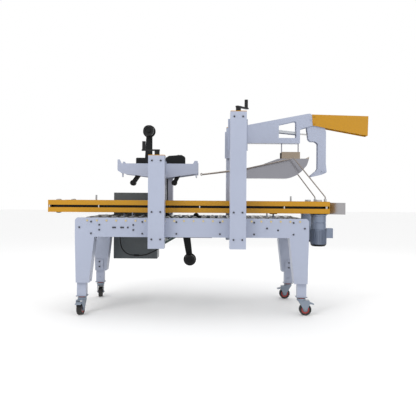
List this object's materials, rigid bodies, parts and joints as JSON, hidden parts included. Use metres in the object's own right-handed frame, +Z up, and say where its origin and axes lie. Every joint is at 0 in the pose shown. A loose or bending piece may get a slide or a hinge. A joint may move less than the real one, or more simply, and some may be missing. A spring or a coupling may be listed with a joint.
{
  "type": "carton sealer",
  "caption": "Carton sealing machine with a roller bed, side belts, height-adjustable tape heads and a flap folder on casters.",
  "frame": {"origin": "centre of the footprint on the floor", "axes": "+X along the bed towards the infeed end, +Y towards the rear side with the control cabinet, +Z up"},
  "size_m": [2.128, 0.969, 1.367],
  "materials": {
    "painted_frame": "satin",
    "dark_painted": "satin",
    "plated_steel": "satin",
    "roller_shell": "satin",
    "stainless": "polished",
    "guard_yellow": "gloss",
    "drive_metal": "satin",
    "belt_rubber": "matte",
    "motor_casting": "satin",
    "black_plastic": "matte",
    "cabinet_paint": "satin",
    "red_plastic": "gloss",
    "fork_steel": "satin",
    "caster_rubber": "matte"
  },
  "bodies": {
    "frame": {"side_rails": "painted_frame", "bed_rollers": "roller_shell", "roller_axles": "plated_steel", "cross_members": "dark_painted", "leg_housings": "painted_frame", "frame_screws": "plated_steel", "tape_columns": "painted_frame", "fold_columns": "painted_frame", "guide_rods": "plated_steel", "control_cabinet": "cabinet_paint", "loop_cable": "black_plastic", "cable_fittings": "black_plastic", "lower_tape_cartridge": "dark_painted"},
    "cabinet_door": {"cabinet_door": "cabinet_paint"},
    "estop_button": {"estop_button": "red_plastic"},
    "power_switch": {"power_switch": "black_plastic"},
    "leg_posts": {"leg_posts": "plated_steel"},
    "width_crank": {"width_crank": "black_plastic"},
    "upper_wipe_arm": {"upper_wipe_arm": "plated_steel"},
    "upper_apply_arm": {"upper_apply_arm": "plated_steel"},
    "upper_tape_hub": {"upper_tape_hub": "black_plastic"},
    "tape_lift_crank": {"tape_lift_crank": "black_plastic"},
    "lower_wipe_arm": {"lower_wipe_arm": "plated_steel"},
    "lower_apply_arm": {"lower_apply_arm": "plated_steel"},
    "lower_tape_hub": {"lower_tape_hub": "black_plastic"},
    "kicker": {"kicker": "painted_frame"},
    "kicker_cylinder": {"kicker_cylinder": "drive_metal"},
    "kicker_piston_rod": {"kicker_piston_rod": "stainless"},
    "fold_lift_crank": {"fold_lift_crank": "black_plastic"},
    "tape_head": {"tape_head_frame": "painted_frame", "upper_tape_cartridge": "dark_painted"},
    "fold_head": {"fold_arm": "painted_frame", "fold_ski": "stainless", "tail_guard": "guard_yellow"},
    "caster_fork_front_left": {"caster_fork_front_left": "fork_steel"},
    "caster_wheel_front_left": {"caster_wheel_front_left": "caster_rubber"},
    "caster_pedal_front_left": {"caster_pedal_front_left": "fork_steel"},
    "caster_fork_front_right": {"caster_fork_front_right": "fork_steel"},
    "caster_wheel_front_right": {"caster_wheel_front_right": "caster_rubber"},
    "caster_pedal_front_right": {"caster_pedal_front_right": "fork_steel"},
    "caster_fork_rear_left": {"caster_fork_rear_left": "fork_steel"},
    "caster_wheel_rear_left": {"caster_wheel_rear_left": "caster_rubber"},
    "caster_pedal_rear_left": {"caster_pedal_rear_left": "fork_steel"},
    "caster_fork_rear_right": {"caster_fork_rear_right": "fork_steel"},
    "caster_wheel_rear_right": {"caster_wheel_rear_right": "caster_rubber"},
    "caster_pedal_rear_right": {"caster_pedal_rear_right": "fork_steel"},
    "side_drive_rear": {"drive_frame_rear": "drive_metal", "drive_covers_rear": "guard_yellow", "drive_belt_rear": "belt_rubber", "gear_motor_rear": "motor_casting"},
    "drive_pulley_rear": {"drive_pulley_rear": "drive_metal"},
    "idler_pulley_rear": {"idler_pulley_rear": "drive_metal"},
    "flap_rod_rear": {"flap_rod_rear": "stainless"},
    "side_drive_front": {"drive_frame_front": "drive_metal", "drive_covers_front": "guard_yellow", "drive_belt_front": "belt_rubber", "gear_motor_front": "motor_casting"},
    "drive_pulley_front": {"drive_pulley_front": "drive_metal"},
    "idler_pulley_front": {"idler_pulley_front": "drive_metal"},
    "flap_rod_front": {"flap_rod_front": "stainless"}
  },
  "joints": [
    {"name": "door_hinge", "type": "hinge", "parent": "frame", "child": "cabinet_door", "pos_m": [-0.7505, 0.4555, 0.343], "axis": [0, 0, 1], "range_deg": [0, 110]},
    {"name": "estop_push", "type": "slide", "parent": "cabinet_door", "child": "estop_button", "axis": [0, -1, 0], "range_m": [0, 0.005], "stiffness_N_per_m": 800, "springref_m": -0.002},
    {"name": "power_turn", "type": "hinge", "parent": "cabinet_door", "child": "power_switch", "pos_m": [-0.584, 0.4595, 0.711], "axis": [0, 1, 0], "range_deg": [0, 90]},
    {"name": "leg_extension", "type": "slide", "parent": "frame", "child": "leg_posts", "axis": [0, 0, -1], "range_m": [0, 0.12]},
    {"name": "swivel_front_left", "type": "hinge", "parent": "leg_posts", "child": "caster_fork_front_left", "pos_m": [-0.8308, -0.3445, 0.1], "axis": [0, 0, 1], "continuous": true},
    {"name": "wheel_front_left", "type": "hinge", "parent": "caster_fork_front_left", "child": "caster_wheel_front_left", "pos_m": [-0.83428, -0.36926, 0.038], "axis": [0.9903, -0.1392, 0], "continuous": true},
    {"name": "brake_front_left", "type": "hinge", "parent": "caster_fork_front_left", "child": "caster_pedal_front_left", "pos_m": [-0.83692, -0.38807, 0.0797], "axis": [0.9903, -0.1392, 0], "range_deg": [0, 10]},
    {"name": "swivel_front_right", "type": "hinge", "parent": "leg_posts", "child": "caster_fork_front_right", "pos_m": [0.5668, -0.3445, 0.1], "axis": [0, 0, 1], "continuous": true},
    {"name": "wheel_front_right", "type": "hinge", "parent": "caster_fork_front_right", "child": "caster_wheel_front_right", "pos_m": [0.5918, -0.3445, 0.038], "axis": [0, 1, 0], "continuous": true},
    {"name": "brake_front_right", "type": "hinge", "parent": "caster_fork_front_right", "child": "caster_pedal_front_right", "pos_m": [0.6108, -0.3445, 0.0797], "axis": [0, 1, 0], "range_deg": [0, 10]},
    {"name": "swivel_rear_left", "type": "hinge", "parent": "leg_posts", "child": "caster_fork_rear_left", "pos_m": [-0.8308, 0.2455, 0.1], "axis": [0, 0, 1], "continuous": true},
    {"name": "wheel_rear_left", "type": "hinge", "parent": "caster_fork_rear_left", "child": "caster_wheel_rear_left", "pos_m": [-0.83428, 0.27026, 0.038], "axis": [-0.9903, -0.1392, 0], "continuous": true},
    {"name": "brake_rear_left", "type": "hinge", "parent": "caster_fork_rear_left", "child": "caster_pedal_rear_left", "pos_m": [-0.83692, 0.28907, 0.0797], "axis": [-0.9903, -0.1392, 0], "range_deg": [0, 10]},
    {"name": "swivel_rear_right", "type": "hinge", "parent": "leg_posts", "child": "caster_fork_rear_right", "pos_m": [0.5668, 0.2455, 0.1], "axis": [0, 0, 1], "continuous": true},
    {"name": "wheel_rear_right", "type": "hinge", "parent": "caster_fork_rear_right", "child": "caster_wheel_rear_right", "pos_m": [0.5418, 0.2455, 0.038], "axis": [0, -1, 0], "continuous": true},
    {"name": "brake_rear_right", "type": "hinge", "parent": "caster_fork_rear_right", "child": "caster_pedal_rear_right", "pos_m": [0.5228, 0.2455, 0.0797], "axis": [0, -1, 0], "range_deg": [0, 10]},
    {"name": "drive_slide_rear", "type": "slide", "parent": "frame", "child": "side_drive_rear", "axis": [0, 1, 0], "range_m": [-0.04, 0.075]},
    {"name": "drive_pulley_turn_rear", "type": "hinge", "parent": "side_drive_rear", "child": "drive_pulley_rear", "pos_m": [0.694, 0.1455, 0.686], "axis": [0, 0, 1], "continuous": true},
    {"name": "idler_pulley_turn_rear", "type": "hinge", "parent": "side_drive_rear", "child": "idler_pulley_rear", "pos_m": [-1.012, 0.1455, 0.686], "axis": [0, 0, 1], "continuous": true},
    {"name": "flap_rod_turn_rear", "type": "hinge", "parent": "side_drive_rear", "child": "flap_rod_rear", "pos_m": [0.742, 0.1255, 0.725], "axis": [0, 0, 1], "range_deg": [-3, 5.4]},
    {"name": "drive_slide_front", "type": "slide", "parent": "frame", "child": "side_drive_front", "axis": [0, -1, 0], "range_m": [-0.04, 0.075]},
    {"name": "drive_pulley_turn_front", "type": "hinge", "parent": "side_drive_front", "child": "drive_pulley_front", "pos_m": [0.694, -0.2445, 0.686], "axis": [0, 0, -1], "continuous": true},
    {"name": "idler_pulley_turn_front", "type": "hinge", "parent": "side_drive_front", "child": "idler_pulley_front", "pos_m": [-1.012, -0.2445, 0.686], "axis": [0, 0, -1], "continuous": true},
    {"name": "flap_rod_turn_front", "type": "hinge", "parent": "side_drive_front", "child": "flap_rod_front", "pos_m": [0.742, -0.2245, 0.725], "axis": [0, 0, -1], "range_deg": [-3, 5.4]},
    {"name": "width_crank_turn", "type": "hinge", "parent": "frame", "child": "width_crank", "pos_m": [0.4105, 0.2905, 0.542], "axis": [0, 1, 0], "range_deg": [-2890, 5410]},
    {"name": "tape_head_lift", "type": "slide", "parent": "frame", "child": "tape_head", "axis": [0, 0, 1], "range_m": [-0.12, 0.022]},
    {"name": "tape_crank_turn", "type": "hinge", "parent": "frame", "child": "tape_lift_crank", "pos_m": [-0.351, -0.4345, 1.007], "axis": [0, 0, 1], "range_deg": [-8700, 1600]},
    {"name": "fold_head_lift", "type": "slide", "parent": "frame", "child": "fold_head", "axis": [0, 0, 1], "range_m": [-0.12, 0.025]},
    {"name": "fold_crank_turn", "type": "hinge", "parent": "frame", "child": "fold_lift_crank", "pos_m": [0.153, -0.4345, 1.281], "axis": [0, 0, 1], "range_deg": [-8700, 1850]},
    {"name": "upper_apply_swing", "type": "hinge", "parent": "tape_head", "child": "upper_apply_arm", "pos_m": [-0.226, -0.0495, 0.925], "axis": [0, 1, 0], "range_deg": [0, 38]},
    {"name": "upper_wipe_swing", "type": "hinge", "parent": "tape_head", "child": "upper_wipe_arm", "pos_m": [-0.496, -0.0495, 0.925], "axis": [0, 1, 0], "range_deg": [0, 38]},
    {"name": "upper_hub_turn", "type": "hinge", "parent": "tape_head", "child": "upper_tape_hub", "pos_m": [-0.446, -0.0495, 1.206], "axis": [0, 1, 0], "continuous": true},
    {"name": "lower_apply_swing", "type": "hinge", "parent": "frame", "child": "lower_apply_arm", "pos_m": [-0.021, -0.0495, 0.56], "axis": [0, -1, 0], "range_deg": [0, 38], "stiffness_Nm_per_rad": 3, "springref_deg": -34.38},
    {"name": "lower_wipe_swing", "type": "hinge", "parent": "frame", "child": "lower_wipe_arm", "pos_m": [-0.241, -0.0495, 0.56], "axis": [0, -1, 0], "range_deg": [0, 38], "stiffness_Nm_per_rad": 3, "springref_deg": -34.38},
    {"name": "lower_hub_turn", "type": "hinge", "parent": "frame", "child": "lower_tape_hub", "pos_m": [-0.157, -0.0495, 0.315], "axis": [0, 1, 0], "continuous": true},
    {"name": "kicker_swing", "type": "hinge", "parent": "fold_head", "child": "kicker", "pos_m": [0.709, -0.0495, 1.262], "axis": [0, -1, 0], "range_deg": [0, 60]},
    {"name": "cylinder_swing", "type": "hinge", "parent": "fold_head", "child": "kicker_cylinder", "pos_m": [0.407, -0.0495, 1.2105], "axis": [0, -1, 0], "range_deg": [0, 3.19]},
    {"name": "piston_stroke", "type": "slide", "parent": "kicker_cylinder", "child": "kicker_piston_rod", "axis": [0.9952, 0, -0.0977], "range_m": [0, 0.0831]}
  ],
  "couplings": [
    {"joint": "idler_pulley_turn_rear", "follows": "drive_pulley_turn_rear", "ratio": 1},
    {"joint": "flap_rod_turn_rear", "follows": "drive_slide_rear", "rad_per_m": 1.23},
    {"joint": "idler_pulley_turn_front", "follows": "drive_pulley_turn_front", "ratio": 1},
    {"joint": "flap_rod_turn_front", "follows": "drive_slide_rear", "rad_per_m": 1.23},
    {"joint": "drive_slide_front", "follows": "drive_slide_rear", "ratio": 1},
    {"joint": "width_crank_turn", "follows": "drive_slide_rear", "rad_per_m": 1256.6},
    {"joint": "tape_crank_turn", "follows": "tape_head_lift", "rad_per_m": 1256.6},
    {"joint": "fold_crank_turn", "follows": "fold_head_lift", "rad_per_m": 1256.6},
    {"joint": "upper_wipe_swing", "follows": "upper_apply_swing", "ratio": 1},
    {"joint": "lower_wipe_swing", "follows": "lower_apply_swing", "ratio": 1},
    {"joint": "cylinder_swing", "follows": "kicker_swing", "ratio": 0.05236},
    {"joint": "piston_stroke", "follows": "kicker_swing", "m_per_rad": 0.078858}
  ]
}
